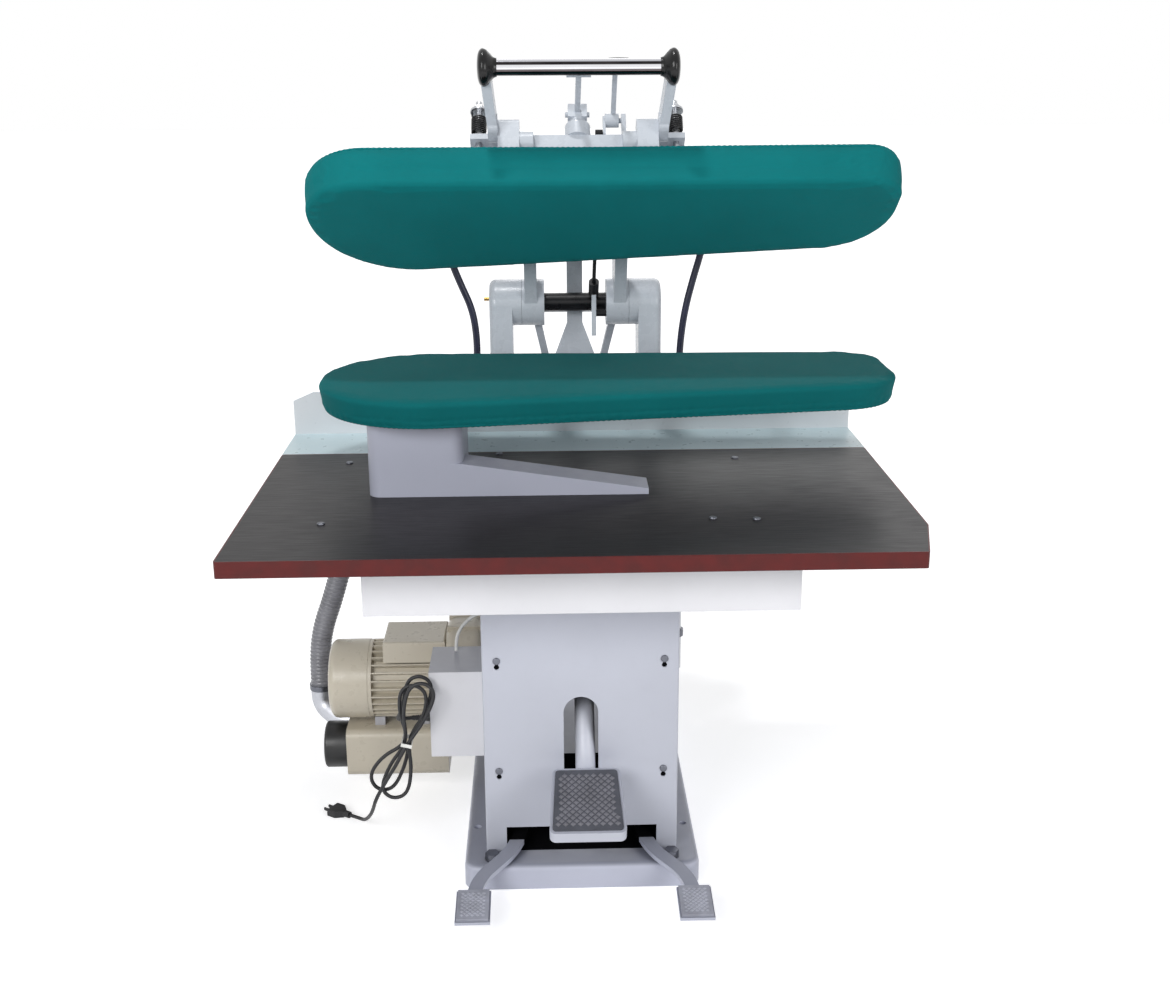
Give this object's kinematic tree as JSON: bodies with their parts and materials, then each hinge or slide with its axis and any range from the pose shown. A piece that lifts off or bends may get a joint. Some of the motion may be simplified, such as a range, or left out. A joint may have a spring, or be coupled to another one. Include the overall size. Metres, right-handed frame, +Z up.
{
  "type": "laundry press",
  "caption": "Foot-operated laundry press with a padded head that swings down onto a long padded buck above a work table, with steam and suction lines.",
  "frame": {"origin": "on the floor under the middle of the base plate", "axes": "+X to the right seen from the user, +Y to the back, +Z up"},
  "size_m": [1.2243, 1.028, 1.5516],
  "materials": {
    "base_grey": "satin",
    "pedal_grey": "satin",
    "column_white": "satin",
    "tray_white": "satin",
    "shelf_white": "satin",
    "neck_grey": "satin",
    "gear_white": "semi gloss",
    "table_dark": "matt laminate",
    "edge_red": "gloss",
    "teal_fabric": "woven",
    "steel": "brushed",
    "chrome": "polished",
    "black_gloss": "gloss",
    "pad_rubber": "moulded",
    "black_rubber": "matt",
    "black_plastic": "matt",
    "black_steel": "satin",
    "beige": "satin",
    "bracket_grey": "satin",
    "brass": "satin",
    "aluminium": "satin",
    "white_plastic": "matt"
  },
  "bodies": {
    "frame": {"base_casting": "base_grey", "fasteners": "steel", "column_frame": "column_white", "front_cover": "column_white", "apron_tray": "tray_white", "table_top": "table_dark", "table_edge_band": "edge_red", "rear_shelf": "shelf_white", "buck_neck": "neck_grey", "buck_plate": "aluminium", "buck_pad": "teal_fabric", "pillars": "gear_white", "rear_brace": "gear_white", "stop_bumper": "black_rubber", "counter_springs": "steel", "steam_pipes": "steel", "steam_hoses": "black_rubber", "brass_fittings": "brass", "electrical_box": "tray_white", "box_lid": "tray_white", "box_fittings": "black_plastic", "control_lead": "white_plastic", "motor": "beige", "fan_cowl": "beige", "blower_housing": "beige", "silencer": "beige", "silencer_cap": "black_plastic", "blower_bracket": "bracket_grey", "suction_pipes": "aluminium", "vacuum_hose": "aluminium", "cord_lead": "black_rubber", "cord_hank": "black_rubber", "cord_tail": "black_rubber", "cord_tie": "white_plastic", "cord_plug": "black_rubber", "shafts": "black_steel"},
    "rotor": {"rotor": "aluminium"},
    "yoke": {"left_arm": "gear_white", "right_arm": "gear_white", "yoke_pins": "steel", "head_chest": "aluminium", "head_cover": "gear_white", "head_pad": "teal_fabric", "head_blocks": "gear_white", "crossbar": "gear_white", "levelling_springs": "black_steel", "handle_arms": "gear_white", "handle_bar": "chrome", "handle_knobs": "black_gloss", "head_fittings": "black_steel"},
    "steam_lever": {"steam_lever": "gear_white"},
    "steam_rod": {"steam_rod": "black_steel"},
    "pedal": {"pedal_lever": "pedal_grey", "pedal_tray": "pedal_grey", "pedal_rubber": "pad_rubber"},
    "push_rod": {"push_rod": "steel"},
    "vacuum_pedal": {"left_small_lever": "base_grey", "left_small_pad": "pad_rubber"},
    "steam_pedal": {"right_small_lever": "base_grey", "right_small_pad": "pad_rubber"}
  },
  "joints": [
    {"name": "head_swing", "type": "hinge", "parent": "frame", "child": "yoke", "pos_m": [0.008, 0.29, 1.024], "axis": [1, 0, 0], "range_deg": [0, 38], "stiffness_Nm_per_rad": 150, "springref_deg": -91.67, "deforming": ["counter_springs", "steam_hoses"]},
    {"name": "press_pedal", "type": "hinge", "parent": "frame", "child": "pedal", "pos_m": [0.008, 0, 0.38], "axis": [1, 0, 0], "range_deg": [0, 9.2]},
    {"name": "push_rod_pivot", "type": "hinge", "parent": "pedal", "child": "push_rod", "pos_m": [0.008, 0.37385, 0.3507], "axis": [1, 0, 0], "range_deg": [-9.2, 0]},
    {"name": "vacuum_pedal", "type": "hinge", "parent": "frame", "child": "vacuum_pedal", "pos_m": [-0.118, -0.15, 0.097], "axis": [1, 0, 0], "range_deg": [0, 1.5], "stiffness_Nm_per_rad": 40, "springref_deg": -11.46},
    {"name": "steam_pedal", "type": "hinge", "parent": "frame", "child": "steam_pedal", "pos_m": [0.118, -0.15, 0.097], "axis": [1, 0, 0], "range_deg": [0, 1.5], "stiffness_Nm_per_rad": 40, "springref_deg": -11.46},
    {"name": "steam_lever", "type": "hinge", "parent": "yoke", "child": "steam_lever", "pos_m": [0.008, -0.02865, 1.42016], "axis": [1, 0, 0], "range_deg": [0, 5], "stiffness_Nm_per_rad": 3, "springref_deg": -17.19},
    {"name": "steam_rod_slide", "type": "slide", "parent": "yoke", "child": "steam_rod", "axis": [0, 0.6649, -0.747], "range_m": [0, 0.0026]},
    {"name": "rotor_spin", "type": "hinge", "parent": "frame", "child": "rotor", "pos_m": [-0.36, 0.04, 0.251], "axis": [1, 0, 0], "continuous": true}
  ],
  "couplings": [
    {"joint": "press_pedal", "follows": "head_swing", "ratio": 0.23587},
    {"joint": "push_rod_pivot", "follows": "head_swing", "ratio": -0.23587},
    {"joint": "steam_rod_slide", "follows": "steam_lever", "m_per_rad": 0.02755}
  ]
}
